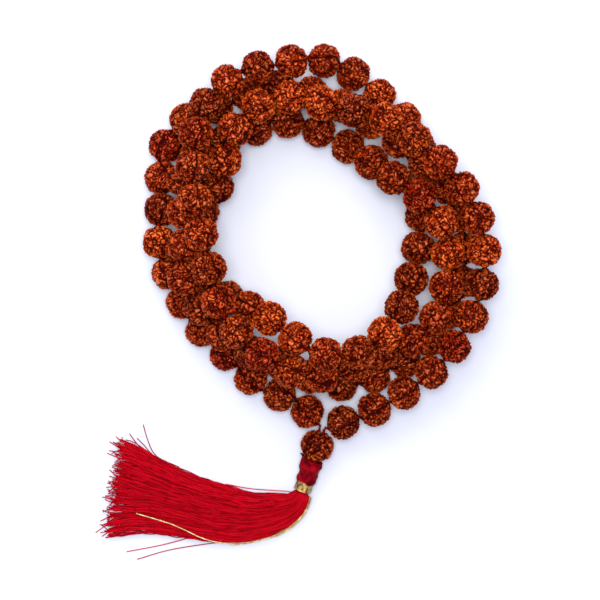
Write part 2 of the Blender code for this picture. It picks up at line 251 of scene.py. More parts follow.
class Tree:
    """Adds nodes to one shader or geometry tree."""

    def __init__(self, tree):
        self.tree = tree

    def add(self, kind, settings=None, inputs=None, output=0):
        """One node: its settings first, then its sockets' values or links. Returns the named output."""
        node = self.tree.nodes.new(kind)
        for name, value in (settings or {}).items():
            if name == "stops":
                ramp = node.color_ramp
                while len(ramp.elements) < len(value):
                    ramp.elements.new(0.5)
                for element, (place, colour) in zip(ramp.elements, value):
                    element.position, element.color = place, (*colour, 1.0)
            else:
                setattr(node, name, value)
        for name, value in (inputs or {}).items():
            if isinstance(value, Value):
                self.tree.links.new(value.socket, node.inputs[name])
            else:
                node.inputs[name].default_value = value
        return Value(self, node.outputs[output]) if len(node.outputs) else node

    def maths(self, operation, *values):
        return self.add("ShaderNodeMath", {"operation": operation}, dict(enumerate(values)))

    def between(self, value, low, high, to_low=0.0, to_high=1.0):
        """The value's smooth rise from to_low to to_high as it goes from low to high."""
        ends = {"From Min": low, "From Max": high, "To Min": to_low, "To Max": to_high}
        return self.add(
            "ShaderNodeMapRange", {"interpolation_type": "SMOOTHSTEP"}, {"Value": value, **ends}
        )

    def noise(self, place, scale, detail=0.0, output="Fac"):
        inputs = {"Vector": place, "Scale": scale, "Detail": detail}
        return self.add("ShaderNodeTexNoise", {}, inputs, output)

    def vector(self, colour):
        """A noise colour as a vector around zero."""
        return self.add("ShaderNodeVectorMath", {"operation": "SUBTRACT"}, {0: colour, 1: (0.5, 0.5, 0.5)})

    def parts(self, vector):
        """The three numbers of a vector."""
        node = self.add("ShaderNodeSeparateXYZ", {}, {0: vector}).socket.node
        return [Value(self, node.outputs[axis]) for axis in range(3)]

    def store(self, geometry, name, value):
        """Geometry that keeps a number at each point, for its finish."""
        inputs = {"Geometry": geometry, "Name": name, "Value": value}
        return self.add("GeometryNodeStoreNamedAttribute", {"data_type": "FLOAT"}, inputs)

    def kept(self, name, output="Fac"):
        """What each point of a piece keeps under a name, for its finish."""
        return self.add("ShaderNodeAttribute", {"attribute_name": name}, {}, output)

    def place(self):
        """Where a point of a piece is, in millimetres."""
        return self.add("ShaderNodeTexCoord", {}, {}, "Object") * (1 / MM)

    def link(self, value, socket):
        self.tree.links.new(value.socket, socket)

    def blend(self, factor, first, second, mode="MIX"):
        """A colour between two others."""
        first, second = (
            (*c, 1.0) if isinstance(c, tuple) and len(c) == 3 else c for c in (first, second)
        )
        settings = {"data_type": "RGBA", "blend_type": mode, "clamp_result": False}
        return self.add("ShaderNodeMix", settings, {0: factor, 6: first, 7: second}, 2)


KNOB_DEPTH = 0.7 * MM
LUMP_DEPTH = 0.12 * MM
MUKHI_COUNT = 5
MUKHI_WIDTH = 0.42
BLANK_DIVISIONS = 32
BLANK_RADIUS, BLANK_HALF_LENGTH = 4.3 * MM, 3.97 * MM
BLANK_FULLNESS = 2.35
SEED_BORE_CELLS, SEED_BORE_RADIUS = 4, 0.56 * MM


def seed_relief(tree, own, number):
    """How high a seed's shell stands, from 0 in its grooves to 1, at a place in its own axes."""
    place = own * (1 / MM)
    away = {"X": number * 7.31, "Y": number * -3.7, "Z": number * 5.17}
    there = place + tree.add("ShaderNodeCombineXYZ", {}, away)
    stray = tree.noise(there, 0.85, output="Color")
    winding = there + tree.vector(stray) * 2.1
    voronoi = {"voronoi_dimensions": "3D", "feature": "DISTANCE_TO_EDGE"}
    edge = tree.add("ShaderNodeTexVoronoi", voronoi, {"Vector": winding, "Scale": 0.76}, "Distance")
    slope = 1 - tree.maths("MINIMUM", edge * 2.4, 1.0)
    knobs = 1 - slope * slope
    worms = tree.maths("SINE", tree.noise(winding, 0.62) * 46.0) * 0.5 + 0.5
    mixing = tree.between(tree.noise(there, 0.35), 0.35, 0.65) * 0.45
    mound = knobs * (1 - mixing + worms * mixing)
    joined = tree.between(tree.noise(there, 0.9), 0.5, 0.8, 0.0, 0.35)
    mound = mound + (1 - mound) * joined
    x, y, _ = tree.parts(place)
    out = tree.maths("SQRT", x * x + y * y)
    turn = tree.maths("ARCTAN2", y, x) + (tree.noise(there, 0.45) - 0.5) * 0.8
    half = MUKHI_COUNT / 2
    from_mukhi = tree.maths("ABSOLUTE", tree.maths("SINE", turn * half)) * out / half
    return mound * tree.between(from_mukhi, 0.0, MUKHI_WIDTH, 0.2, 1.0)


def blank_depth(out, radius=BLANK_RADIUS, half_length=BLANK_HALF_LENGTH):
    """How far the body's skin is from its middle, along one axis, at a distance out from that axis."""
    return half_length * max(0.0, 1 - (out / radius) ** BLANK_FULLNESS) ** (1 / BLANK_FULLNESS)


def blank_skin(way):
    """The point on the body's skin in a direction: a ball with its poles and shoulders filled out."""
    way = unit(way)
    out, up = math.hypot(way[0], way[1]) / BLANK_RADIUS, abs(way[2]) / BLANK_HALF_LENGTH
    return way * (out**BLANK_FULLNESS + up**BLANK_FULLNESS) ** (-1 / BLANK_FULLNESS)


def placed(name, data):
    """A new object with this data, in the scene."""
    made = bpy.data.objects.new(name, data)
    bpy.context.scene.collection.objects.link(made)
    return made


def new_finish(name):
    """An empty material with its tree and its shader."""
    made = bpy.data.materials.new(name)
    made.use_nodes = True
    return made, Tree(made.node_tree), made.node_tree.nodes["Principled BSDF"]


def make_blank(name, bore_cells, bore_radius):
    """A seed's plain body, its skin in even cells, with its bore right through."""
    steps = BLANK_DIVISIONS
    across = np.tan(math.pi / 4 * (2 * np.arange(steps + 1) / steps - 1))
    bored = range((steps - bore_cells) // 2, (steps + bore_cells) // 2)
    points, faces = [], []
    for axis in range(3):
        for side in (-1, 1):
            base = len(points)
            for u in across:
                for v in across:
                    place = np.zeros(3)
                    place[axis], place[(axis + 1) % 3], place[(axis + 2) % 3] = side, u, v
                    points.append(blank_skin(place))
            for i in range(steps):
                for j in range(steps):
                    if axis < 2 or i not in bored or j not in bored:
                        at = base + i * (steps + 1) + j
                        faces.append((at, at + 1, at + steps + 2, at + steps + 1))
    mesh = bpy.data.meshes.new(name)
    mesh.from_pydata(points, [], faces)
    shell = bmesh.new()
    shell.from_mesh(mesh)
    bmesh.ops.remove_doubles(shell, verts=shell.verts, dist=0.001 * MM)
    bmesh.ops.delete(shell, geom=[v for v in shell.verts if not v.link_faces], context="VERTS")
    rims = [edge for edge in shell.edges if edge.is_boundary]
    for vertex in {v for edge in rims for v in edge.verts}:
        out = Vector((vertex.co.x, vertex.co.y, 0.0)).normalized() * bore_radius
        vertex.co = (out.x, out.y, math.copysign(blank_depth(bore_radius), vertex.co.z))
    bmesh.ops.bridge_loops(shell, edges=rims)
    bmesh.ops.recalc_face_normals(shell, faces=shell.faces)
    shell.to_mesh(mesh)
    shell.free()
    own = mesh.attributes.new("own", "FLOAT_VECTOR", "POINT")
    own.data.foreach_set("vector", [c for v in mesh.vertices for c in v.co])
    return placed(name, mesh)


def new_tree(name, inputs):
    """An empty geometry tree with geometry in and out, and the named inputs, each (kind, start value)."""
    group = bpy.data.node_groups.new(name, "GeometryNodeTree")
    group.interface.new_socket(name="Geometry", in_out="INPUT", socket_type="NodeSocketGeometry")
    group.interface.new_socket(name="Geometry", in_out="OUTPUT", socket_type="NodeSocketGeometry")
    for label, (kind, start) in inputs.items():
        socket = group.interface.new_socket(name=label, in_out="INPUT", socket_type=f"NodeSocket{kind}")
        if start is not None:
            socket.default_value = start
    tree = Tree(group)
    entry = group.nodes.new("NodeGroupInput")
    given = {socket.name: Value(tree, socket) for socket in entry.outputs if socket.name}
    return group, tree, given


def end_tree(tree, geometry, finish):
    """Ends a geometry tree: everything in it is made real, smooth and given its finish."""
    real = tree.add("GeometryNodeRealizeInstances", {}, {0: geometry})
    smooth = tree.add("GeometryNodeSetShadeSmooth", {}, {0: real})
    done = tree.add("GeometryNodeSetMaterial", {}, {"Geometry": smooth, "Material": finish})
    leave = tree.tree.nodes.new("NodeGroupOutput")
    tree.tree.links.new(done.socket, leave.inputs[0])


def grown(name, source, group, **given):
    """The plain mesh piece that a geometry tree makes of a source object, which is then removed."""
    modifier = source.modifiers.new(name, "NODES")
    modifier.node_group = group
    for socket in group.interface.items_tree:
        if socket.in_out == "INPUT" and socket.name.replace(" ", "_") in given:
            modifier[socket.identifier] = given[socket.name.replace(" ", "_")]
    bpy.context.view_layer.update()
    graph = bpy.context.evaluated_depsgraph_get()
    mesh = bpy.data.meshes.new_from_object(
        source.evaluated_get(graph), preserve_all_data_layers=True, depsgraph=graph
    )
    source.modifiers.remove(modifier)
    bpy.data.objects.remove(source)
    mesh.name = name
    return placed(name, mesh)


def thread_seeds_tree():
    """Puts a blank seed on each place, along its bore, and raises the knobs and ridges of its shell."""
    inputs = {
        "Blank": ("Object", None),
        "Knob depth": ("Float", KNOB_DEPTH),
        "Lump depth": ("Float", LUMP_DEPTH),
        "Finish": ("Material", None),
    }
    group, tree, given = new_tree("threaded_seeds", inputs)

    def kept(name, kind):
        return tree.add("GeometryNodeInputNamedAttribute", {"data_type": kind}, {"Name": name}, "Attribute")

    blank = tree.add("GeometryNodeObjectInfo", {}, {"Object": given["Blank"]}, "Geometry")
    turned = tree.add(
        "FunctionNodeAlignRotationToVector", {"axis": "Z"}, {"Vector": kept("bore", "FLOAT_VECTOR")}
    )
    spread = tree.add(
        "GeometryNodeInstanceOnPoints",
        {},
        {"Points": given["Geometry"], "Instance": blank, "Rotation": turned, "Scale": kept("size", "FLOAT")},
    )
    real = tree.add("GeometryNodeRealizeInstances", {}, {0: spread})
    own, number = kept("own", "FLOAT_VECTOR"), kept("number", "FLOAT")
    place = own * (1 / MM)
    x, y, _ = tree.parts(place)
    clear_of_bore = tree.between(tree.maths("SQRT", x * x + y * y), 0.6, 1.5)
    low = (1 - seed_relief(tree, own, number)) * given["Knob depth"]
    lump = tree.noise(place + tree.add("ShaderNodeCombineXYZ", {}, {"X": number * 3.1}), 0.28)
    sunk = (low + lump * given["Lump depth"]) * clear_of_bore * -1.0
    position = tree.add("GeometryNodeInputPosition")
    outwards = tree.add(
        "ShaderNodeVectorMath", {"operation": "NORMALIZE"}, {0: position - kept("middle", "FLOAT_VECTOR")}
    )
    shaped = tree.add("GeometryNodeSetPosition", {}, {"Geometry": real, "Offset": outwards * sunk})
    end_tree(tree, shaped, given["Finish"])
    return group


def seed_finish():
    """Oiled shell: orange brown on the knobs, through red brown, to nearly black red in the grooves. The
    colour follows the relief, so besides the seed's own browns it holds painted shade in the grooves and a
    painted highlight on the knob tops.
    """
    made, tree, shader = new_finish("rudraksha_shell")
    own, number = tree.kept("own", "Vector"), tree.kept("number")
    tone, ruddy = tree.kept("tone"), tree.kept("ruddy")
    relief = seed_relief(tree, own, number)
    # Groove to knob top: the seed's own browns, darkened to nearly black as painted shade in the grooves and
    # lightened as a painted highlight on the knob tops.
    stops = [
        (0.0, (0.008, 0.0002, 0.0001)),
        (0.3, (0.050, 0.0022, 0.0004)),
        (0.62, (0.225, 0.025, 0.0024)),
        (1.0, (0.47, 0.090, 0.0085)),
    ]
    shell = tree.add("ShaderNodeValToRGB", {"stops": stops}, {"Fac": relief}, "Color")
    place = own * (1 / MM)
    away = tree.add("ShaderNodeCombineXYZ", {}, {"X": number * 2.3, "Y": number * 9.1})
    blotch = tree.noise(place + away, 0.5, 2.0)
    red = tree.blend(tree.between(blotch, 0.4, 0.75) * 0.5 + ruddy * 0.5, shell, (1.0, 0.5, 0.55), "MULTIPLY")
    grain = tree.noise(place + away, 6.0, 3.0)
    worn = tree.blend(tree.between(grain, 0.3, 0.8) * 0.15, red, (0.75, 0.42, 0.3), "OVERLAY")
    bright = tree.add("ShaderNodeCombineXYZ", {}, {"X": tone, "Y": tone, "Z": tone})
    colour = tree.blend(1.0, worn, bright, "MULTIPLY")
    height = relief * 0.7 + grain * 0.3
    bump = tree.add("ShaderNodeBump", {}, {"Height": height, "Strength": 0.6, "Distance": 0.25 * MM})
    tree.link(colour, shader.inputs["Base Color"])
    tree.link(0.58 - relief * 0.2 + grain * 0.12, shader.inputs["Roughness"])
    tree.link(bump, shader.inputs["Normal"])
    tree.link(tree.between(relief, 0.65, 1.0) * 0.6, shader.inputs["Coat Weight"])
    shader.inputs["Coat Roughness"].default_value = 0.22
    shader.inputs["Specular IOR Level"].default_value = 0.02
    return made


# Seeds lighter, duller or redder than the rest, by their number along the string.
ORANGE_SEEDS = {8, 13, 15, 16, 17, 30, 38, 101, 60, 61, 26, 79, 93}
DULL_SEEDS = {1, 7, 14, 31, 32, 44, 77, 100}
RED_SEEDS = {52, 105, 62, 5, 98}
chance = np.random.default_rng(108)
seed_tones = chance.uniform(0.82, 1.12, BEAD_COUNT + 1)
seed_ruddy = chance.uniform(0.0, 0.7, BEAD_COUNT + 1)
for numbers, tone, redness in (
    (ORANGE_SEEDS, 1.28, 0.0), (DULL_SEEDS, 0.72, 0.25), (RED_SEEDS, 0.85, 1.4)
):
    for number in numbers:
        seed_tones[number], seed_ruddy[number] = tone, redness
seed_sizes = chance.uniform(0.98, 1.0, BEAD_COUNT + 1)


def place_seeds(name, numbers, centres, bores, tones, ruddies, sizes):
    """The places of some seeds, as points that hold each one's bore, look and size."""
    mesh = bpy.data.meshes.new(name)
    mesh.from_pydata([tuple(c) for c in centres], [], [])
    vectors = {"bore": bores, "middle": centres}
    for label, values in vectors.items():
        attribute = mesh.attributes.new(label, "FLOAT_VECTOR", "POINT")
        attribute.data.foreach_set("vector", np.asarray(values, np.float32).ravel())
    numbers_held = {"number": numbers, "tone": tones, "ruddy": ruddies, "size": sizes}
    for label, values in numbers_held.items():
        attribute = mesh.attributes.new(label, "FLOAT", "POINT")
        attribute.data.foreach_set("value", np.asarray(values, np.float32))
    return placed(name, mesh)


seed_group = thread_seeds_tree()
shell_finish = seed_finish()
seed_blank = make_blank("seed_blank", SEED_BORE_CELLS, SEED_BORE_RADIUS)
bodies = frame["record"]["behaviour"]["bodies"].items()
for node, body in sorted((node, body) for body, members in bodies for node in members):
    if not node.startswith("bead_"):
        continue
    marks = [int(mark) for mark in node.split("_") if mark.isdigit()]
    numbers = np.arange(marks[0], marks[-1] + 1)
    name = node.replace("bead", "seed")
    places = place_seeds(
        name + "_places",
        numbers,
        bead_centres[numbers - 1],
        bead_bores[numbers - 1],
        seed_tones[numbers],
        seed_ruddy[numbers],
        seed_sizes[numbers],
    )
    seeds = grown(name, places, seed_group, Blank=seed_blank, Finish=shell_finish)
    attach(seeds, body)
    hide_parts(node)


# ---- Guru bead ----
# One more seed of the same kind, duller and bored wider, at the mouth of the loop. Both ends of the string
# pass through it, so it marks where the count begins and ends.

GURU_BORE_CELLS, GURU_BORE_RADIUS = 10, 1.25 * MM
GURU_SIZE = 0.96

guru_blank = make_blank("guru_blank", GURU_BORE_CELLS, GURU_BORE_RADIUS)
guru_number, guru_tone, guru_redness = 120.0, 0.8, 0.3
places = place_seeds(
    "guru_place", [guru_number], [guru_centre], [GURU_BORE], [guru_tone], [guru_redness], [GURU_SIZE]
)
guru_seed = grown("guru_seed_bead", places, seed_group, Blank=guru_blank, Finish=shell_finish)
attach(guru_seed, "guru_bead")
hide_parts("guru_bead")
for blank in (seed_blank, guru_blank):
    bpy.data.objects.remove(blank)


# ---- Stringing cord ----
# Three plies of red cotton, twisted. It runs through all 108 seeds, and both of its ends lie side by side in
# the guru bead. It shows only in the gaps between the seeds.

CORD_RADIUS = 0.42 * MM
CORD_LAY, CORD_LOBE_DEPTH = 2.4 * MM, 0.16
UNTWISTED = 1.0
CORD_STEP = 0.5 * MM
CORD_END_REACH = 4.3 * MM
CORD_SPACING = 1.1 * MM


def smooth_route(points, step):
    """Points about `step` apart on the smooth curve through the given ones."""
    ends = np.vstack([2 * points[0] - points[1], points, 2 * points[-1] - points[-2]])
    found = []
    for before, start, end, after in zip(ends, ends[1:], ends[2:], ends[3:]):
        pieces = max(1, round(np.linalg.norm(end - start) / step))
        for piece in range(pieces):
            t = piece / pieces
            bend = 2 * before - 5 * start + 4 * end - after
            twist = 3 * start - before - 3 * end + after
            found.append(start + ((end - before) * t + bend * t**2 + twist * t**3) / 2)
    return np.array([*found, points[-1]])


def lines(name, routes, closed=False):
    """One curve object with a spline along each route."""
    curve = bpy.data.curves.new(name, "CURVE")
    curve.dimensions = "3D"
    for route in routes:
        spline = curve.splines.new("POLY")
        spline.points.add(len(route) - 1)
        spline.points.foreach_set("co", np.pad(route, ((0, 0), (0, 1)), constant_values=1.0).ravel())
        spline.use_cyclic_u = closed
    return placed(name, curve)


def plied_cord_tree():
    """A cord of twisted plies along each curve: a lobed section that turns once in each lay."""
    inputs = {
        "Radius": ("Float", CORD_RADIUS),
        "Lay": ("Float", UNTWISTED),
        "Plies": ("Float", 3.0),
        "Lobe depth": ("Float", 0.0),
        "Sides": ("Int", 12),
        "Finish": ("Material", None),
    }
    group, tree, given = new_tree("plied_cord", inputs)
    along = tree.add("GeometryNodeSplineParameter", {}, {}, "Length")
    tilt = along / given["Lay"] * math.tau
    line = tree.add("GeometryNodeSetCurveTilt", {}, {"Curve": given["Geometry"], "Tilt": tilt})
    circle = tree.add(
        "GeometryNodeCurvePrimitiveCircle",
        {"mode": "RADIUS"},
        {"Resolution": given["Sides"], "Radius": given["Radius"]},
    )
    position = tree.add("GeometryNodeInputPosition")
    x, y, _ = tree.parts(position)
    lobes = tree.maths("COSINE", tree.maths("ARCTAN2", y, x) * given["Plies"])
    lobed_place = position * (1 - given["Lobe depth"] + lobes * given["Lobe depth"])
    lobed = tree.add("GeometryNodeSetPosition", {}, {"Geometry": circle, "Position": lobed_place})
    curve = tree.add("GeometryNodeCurveOfPoint", {}, {}, "Curve Index")
    chosen = tree.add("FunctionNodeRandomValue", {"data_type": "FLOAT"}, {"ID": curve, "Seed": 7}, 1)
    line = tree.store(tree.store(line, "along", along), "strand", chosen)
    lobed = tree.store(lobed, "around", tree.maths("ARCTAN2", y, x))
    tube = tree.add(
        "GeometryNodeCurveToMesh", {}, {"Curve": line, "Profile Curve": lobed, "Fill Caps": True}
    )
    end_tree(tree, tube, given["Finish"])
    return group


def thread_finish(name, deep, body, light, roughness, lay):
    """Dyed thread: fine fibres that wind round it, with uneven dye along it."""
    made, tree, shader = new_finish(name)
    along = tree.kept("along") * (1 / MM)
    around = tree.kept("around")
    place = tree.place()
    fibres = tree.maths("SINE", along * (math.tau / lay) + around * 5.0) * 0.5 + 0.5
    dye = tree.noise(place, 0.35, 2.0)
    hair = tree.noise(place, 9.0, 3.0)
    strand = tree.kept("strand")
    mixed = tree.maths("MINIMUM", fibres * 0.2 + hair * 0.3 + dye * 0.25 + strand * 0.5, 1.0)
    stops = [(0.1, deep), (0.55, body), (1.0, light)]
    colour = tree.add("ShaderNodeValToRGB", {"stops": stops}, {"Fac": mixed}, "Color")
    height = fibres * 0.6 + hair * 0.35
    bump = tree.add("ShaderNodeBump", {}, {"Height": height, "Strength": 0.5, "Distance": 0.08 * MM})
    tree.link(colour, shader.inputs["Base Color"])
    tree.link(roughness + hair * 0.15 - 0.07, shader.inputs["Roughness"])
    tree.link(bump, shader.inputs["Normal"])
    shader.inputs["Specular IOR Level"].default_value = 0.02
    return made


cord_group = plied_cord_tree()
cotton = thread_finish(
    "red_cotton", (0.03, 0.0004, 0.0008), (0.11, 0.002, 0.003), (0.19, 0.006, 0.006), 0.8, 0.5
)
sideways = unit(np.cross(GURU_BORE, (0.0, 0.0, 1.0))) * CORD_SPACING / 2
below = guru_centre - GURU_BORE * CORD_END_REACH
above = guru_centre + GURU_BORE * GURU_MOUTH_REACH
threaded = np.empty((2 * BEAD_COUNT + 1, 3))
threaded[0::2], threaded[1::2] = laid, bead_centres
through = [below + sideways, above + sideways, *threaded, above - sideways, below - sideways]
cord_route = smooth_route(np.array(through), CORD_STEP)
cord = grown(
    "plied_string", lines("string_line", [cord_route]), cord_group,
    Lay=CORD_LAY, Lobe_depth=CORD_LOBE_DEPTH, Finish=cotton,
)
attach(cord, "coil")
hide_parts("stringing_cord")


# ---- Knot in the neck of the tassel ----
# The two string ends are tied together under the guru bead in one round knot, drawn down tight. The tassel
# hangs from it, and the top of the neck covers it.

NECK_DIRECTION = np.array([-0.32, -0.93, -0.16]) / np.linalg.norm([-0.32, -0.93, -0.16])
KNOT_FROM_GURU = 1.6 * MM
KNOT_SIZE = 0.72 * MM
KNOT_CORD_RADIUS, KNOT_LOBE_DEPTH = 0.4 * MM, 0.1
KNOT_STEPS = 72

knot = guru_centre - GURU_BORE * GURU_MOUTH_REACH + NECK_DIRECTION * KNOT_FROM_GURU
across_neck = unit(np.cross((0.0, 0.0, 1.0), NECK_DIRECTION))
above_neck = np.cross(NECK_DIRECTION, across_neck)


def at_neck(reach, radius=0.0, angle=0.0):
    """A point measured along the neck from the knot, at a distance and an angle round it."""
    round_it = across_neck * math.cos(angle) + above_neck * math.sin(angle)
    return knot + NECK_DIRECTION * reach + round_it * radius


trefoil = []
for step in range(KNOT_STEPS):
    t = math.tau * step / KNOT_STEPS
    x, y, z = math.sin(t) + 2 * math.sin(2 * t), math.cos(t) - 2 * math.cos(2 * t), -math.sin(3 * t)
    trefoil.append(knot + KNOT_SIZE * (x / 3 * across_neck + y / 3 * above_neck + z / 2 * NECK_DIRECTION))
knot_line = lines("knot_line", [np.array(trefoil)], closed=True)
tied = grown(
    "string_knot", knot_line, cord_group,
    Radius=KNOT_CORD_RADIUS, Lobe_depth=KNOT_LOBE_DEPTH, Finish=cotton,
)
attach(tied, "tassel_knot")
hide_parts("tassel_knot")


# ---- Neck of the tassel ----
# A sleeve of crimson satin ribbon, wound round the doubled threads of the tassel. It is pulled into soft
# folds, stands up round the guru bead on one side, and is tucked into the gold binding below.

SLEEVE_RADIUS, SLEEVE_WALL = 2.42 * MM, 0.3 * MM
SLEEVE_TOP, SLEEVE_END = -1.9 * MM, 4.3 * MM
SLEEVE_PEAK, SLEEVE_FLARE = 0.75 * MM, 0.3 * MM
BEAD_HUG = 0.1 * MM
SLEEVE_PEAK_ANGLE = math.radians(172)
SLEEVE_AROUND, SLEEVE_ALONG = 120, 56
SLEEVE_BEND_START, SLEEVE_BEND_END = -0.5 * MM, 3.0 * MM


def bead_radius_at(reach):
    """How wide the guru bead is, where the neck's axis has this reach."""
    half_length = GURU_SIZE * BLANK_HALF_LENGTH
    from_middle = min(KNOT_FROM_GURU + GURU_MOUTH_REACH + reach, half_length)
    return blank_depth(from_middle, half_length, GURU_SIZE * BLANK_RADIUS)


def sleeve_radius(reach, angle):
    """The sleeve's outer radius, with its folds. It hugs the guru bead above and narrows to the binding."""
    part = (reach - SLEEVE_TOP) / (SLEEVE_END - SLEEVE_TOP)
    tucked = SLEEVE_RADIUS - 0.62 * MM * max(0.0, (part - 0.72) / 0.28) ** 2
    folds = (
        0.16 * math.sin(2 * angle + 7.0 * part + 0.6)
        + 0.13 * math.sin(3 * angle - 11.0 * part + 2.1)
        + 0.08 * math.sin(5 * angle + 18.0 * part + 4.0)
    )
    flare = SLEEVE_FLARE * max(0.0, math.cos(angle - SLEEVE_PEAK_ANGLE)) * max(0.0, 1 - 2 * part)
    slack = tucked + flare + folds * MM * max(0.0, min(1.0, 3 * (1 - part), 3 * part + 0.4))
    return max(slack, bead_radius_at(reach) + SLEEVE_WALL + BEAD_HUG)


def wound_tube(name, radius_at, top_at, end, wall, around, along):
    """A tube with an inner wall round the neck, with its length and its turn kept for its finish."""
    points, faces, length, turn = [], [], [], []
    rows = [(row / along, False) for row in range(along + 1)]
    rows += [(1 - row / along, True) for row in range(along + 1)]
    for part, inside in rows:
        for side in range(around):
            angle = math.tau * side / around
            top = top_at(angle)
            reach = top + (end - top) * part
            points.append(at_neck(reach, radius_at(reach, angle) - (wall if inside else 0.0), angle))
            length.append(reach)
            turn.append(angle)
    for row in range(len(rows)):
        here, beyond = row * around, (row + 1) % len(rows) * around
        for side in range(around):
            after = (side + 1) % around
            faces.append((here + side, here + after, beyond + after, beyond + side))
    mesh = bpy.data.meshes.new(name)
    mesh.from_pydata([tuple(p) for p in points], [], faces)
    for label, values in (("along", length), ("around", turn)):
        attribute = mesh.attributes.new(label, "FLOAT", "POINT")
        attribute.data.foreach_set("value", np.asarray(values, np.float32))
    return add_piece(name, mesh)


def add_piece(name, mesh):
    """A piece from a closed mesh, shaded smooth and facing out."""
    shell = bmesh.new()
    shell.from_mesh(mesh)
    bmesh.ops.recalc_face_normals(shell, faces=shell.faces)
    shell.to_mesh(mesh)
    shell.free()
    mesh.shade_smooth()
    return placed(name, mesh)


def satin_finish():
    """Crimson satin: fine threads that run round it, with a painted sheen in light stripes along them, and
    painted highlights and painted shade in broad patches that stand for lit and shaded folds.
    """
    made, tree, shader = new_finish("crimson_satin")
    along = tree.kept("along") * (1 / MM)
    place = tree.place()
    threads = tree.maths("SINE", along * (math.tau / 0.16) + tree.noise(place, 0.8) * 5.0) * 0.5 + 0.5
    # Broad noise patches of painted highlight and painted shade, in place of light and shade on the folds. The
    # same noise also makes the satin rougher.
    painted_fold_shade = tree.noise(place, 0.55, 2.0)
    streak = tree.noise(along, 4.0, 2.0)
    mixed = painted_fold_shade * 0.65 + threads * 0.15 + streak * 0.2
    # From the painted shade of the folds, through the crimson, to their painted highlight.
    stops = [(0.33, (0.03, 0.0, 0.0006)), (0.5, (0.12, 0.0001, 0.0022)), (0.67, (0.33, 0.0006, 0.008))]
    colour = tree.add("ShaderNodeValToRGB", {"stops": stops}, {"Fac": mixed}, "Color")
    bump = tree.add("ShaderNodeBump", {}, {"Height": threads, "Strength": 0.35, "Distance": 0.05 * MM})
    tree.link(colour, shader.inputs["Base Color"])
    tree.link(0.36 + painted_fold_shade * 0.16, shader.inputs["Roughness"])
    tree.link(bump, shader.inputs["Normal"])
    shader.inputs["Specular IOR Level"].default_value = 0.02
    return made


def sleeve_top(angle):
    """Where the sleeve's rim stands, higher on one side of the guru bead."""
    return SLEEVE_TOP - SLEEVE_PEAK * max(0.0, math.cos(angle - SLEEVE_PEAK_ANGLE)) ** 3


sleeve = wound_tube(
    "satin_sleeve", sleeve_radius, sleeve_top, SLEEVE_END, SLEEVE_WALL, SLEEVE_AROUND, SLEEVE_ALONG
)
sleeve.data.materials.append(satin_finish())
bend_start, bend_end = at_neck(SLEEVE_BEND_START), at_neck(SLEEVE_BEND_END)
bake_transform(sleeve)
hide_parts("neck_sleeve")


# ---- Silk threads inside the neck ----
# The doubled threads of the tassel, bound tight side by side. They show only from under the neck, and down
# the middle of the sleeve.

CORE_RADIUS, CORE_START, CORE_END = 1.4 * MM, 1.7 * MM, 7.4 * MM
CORE_THREAD_RADIUS = 0.15 * MM
CORE_STEP = 0.6 * MM
CORE_TWIST = 0.05 / MM
ROW_RISE = 0.866

silk = thread_finish(
    "red_silk", (0.07, 0.0, 0.001), (0.29, 0.0, 0.004), (0.52, 0.002, 0.012), 0.5, 0.35
)


def packed_places(radius, spacing):
    """Places in rows, as close as threads lie in a round bundle."""
    rows = int(radius / spacing) + 1
    found = []
    for i in range(-rows, rows + 1):
        for j in range(-rows, rows + 1):
            x, y = spacing * (i + 0.5 * (j % 2)), spacing * ROW_RISE * j
            if math.hypot(x, y) < radius:
                found.append((x, y))
    return found


core_routes = []
for x, y in packed_places(CORE_RADIUS - CORE_THREAD_RADIUS, 2 * CORE_THREAD_RADIUS):
    angle, out = math.atan2(y, x), math.hypot(x, y)
    reaches = np.arange(CORE_START, CORE_END + CORE_STEP / 2, CORE_STEP)
    turned = [at_neck(reach, out, angle + CORE_TWIST * (reach - CORE_START)) for reach in reaches]
    core_routes.append(np.array(turned))
core = grown(
    "neck_threads", lines("core_lines", core_routes), cord_group,
    Radius=CORE_THREAD_RADIUS, Sides=6, Finish=silk,
)
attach(core, "tassel_neck")
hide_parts("thread_core")


# ---- Gold binding ----
# Zari, a metal foil thread, wound in close turns round the foot of the neck. A thicker turn at each edge
# finishes it, and the whole binding grips the silk above the skirt.

BAND_START, BAND_END = 3.5 * MM, 5.9 * MM
BAND_RADIUS = 2.1 * MM
BAND_THREAD_RADIUS = 0.15 * MM
BAND_TURNS = 8
BAND_EDGE_RADIUS = 0.2 * MM
BAND_TURN_STEPS, BAND_EDGE_STEPS = 60, 72


def zari_finish(name, bright, dull):
    """Gold foil wound round a thread: bright slanted facets with dull lines where the core shows, and dull
    patches that are partly tarnish and partly painted dark reflection.
    """
    made, tree, shader = new_finish(name)
    along = tree.kept("along") * (1 / MM)
    around = tree.kept("around")
    place = tree.place()
    foil = tree.maths("SINE", along * (math.tau / 0.32) + around) * 0.5 + 0.5
    tarnish_and_painted_reflection = tree.noise(place, 0.9, 2.0)
    core_shows = tree.between(foil, 0.0, 0.22, 1.0, 0.0)
    # Dull patches: tarnish, and where the dull colour is near black, painted dark reflection on the foil.
    gold = tree.blend(tree.between(tarnish_and_painted_reflection, 0.42, 0.56), bright, dull)
    colour = tree.blend(core_shows * 0.6, gold, (0.40, 0.20, 0.05))
    bump = tree.add("ShaderNodeBump", {}, {"Height": foil, "Strength": 0.6, "Distance": 0.05 * MM})
    tree.link(colour, shader.inputs["Base Color"])
    tree.link(0.95 - core_shows * 0.5, shader.inputs["Metallic"])
    tree.link(0.26 + tarnish_and_painted_reflection * 0.14 + core_shows * 0.2, shader.inputs["Roughness"])
    tree.link(bump, shader.inputs["Normal"])
    return made
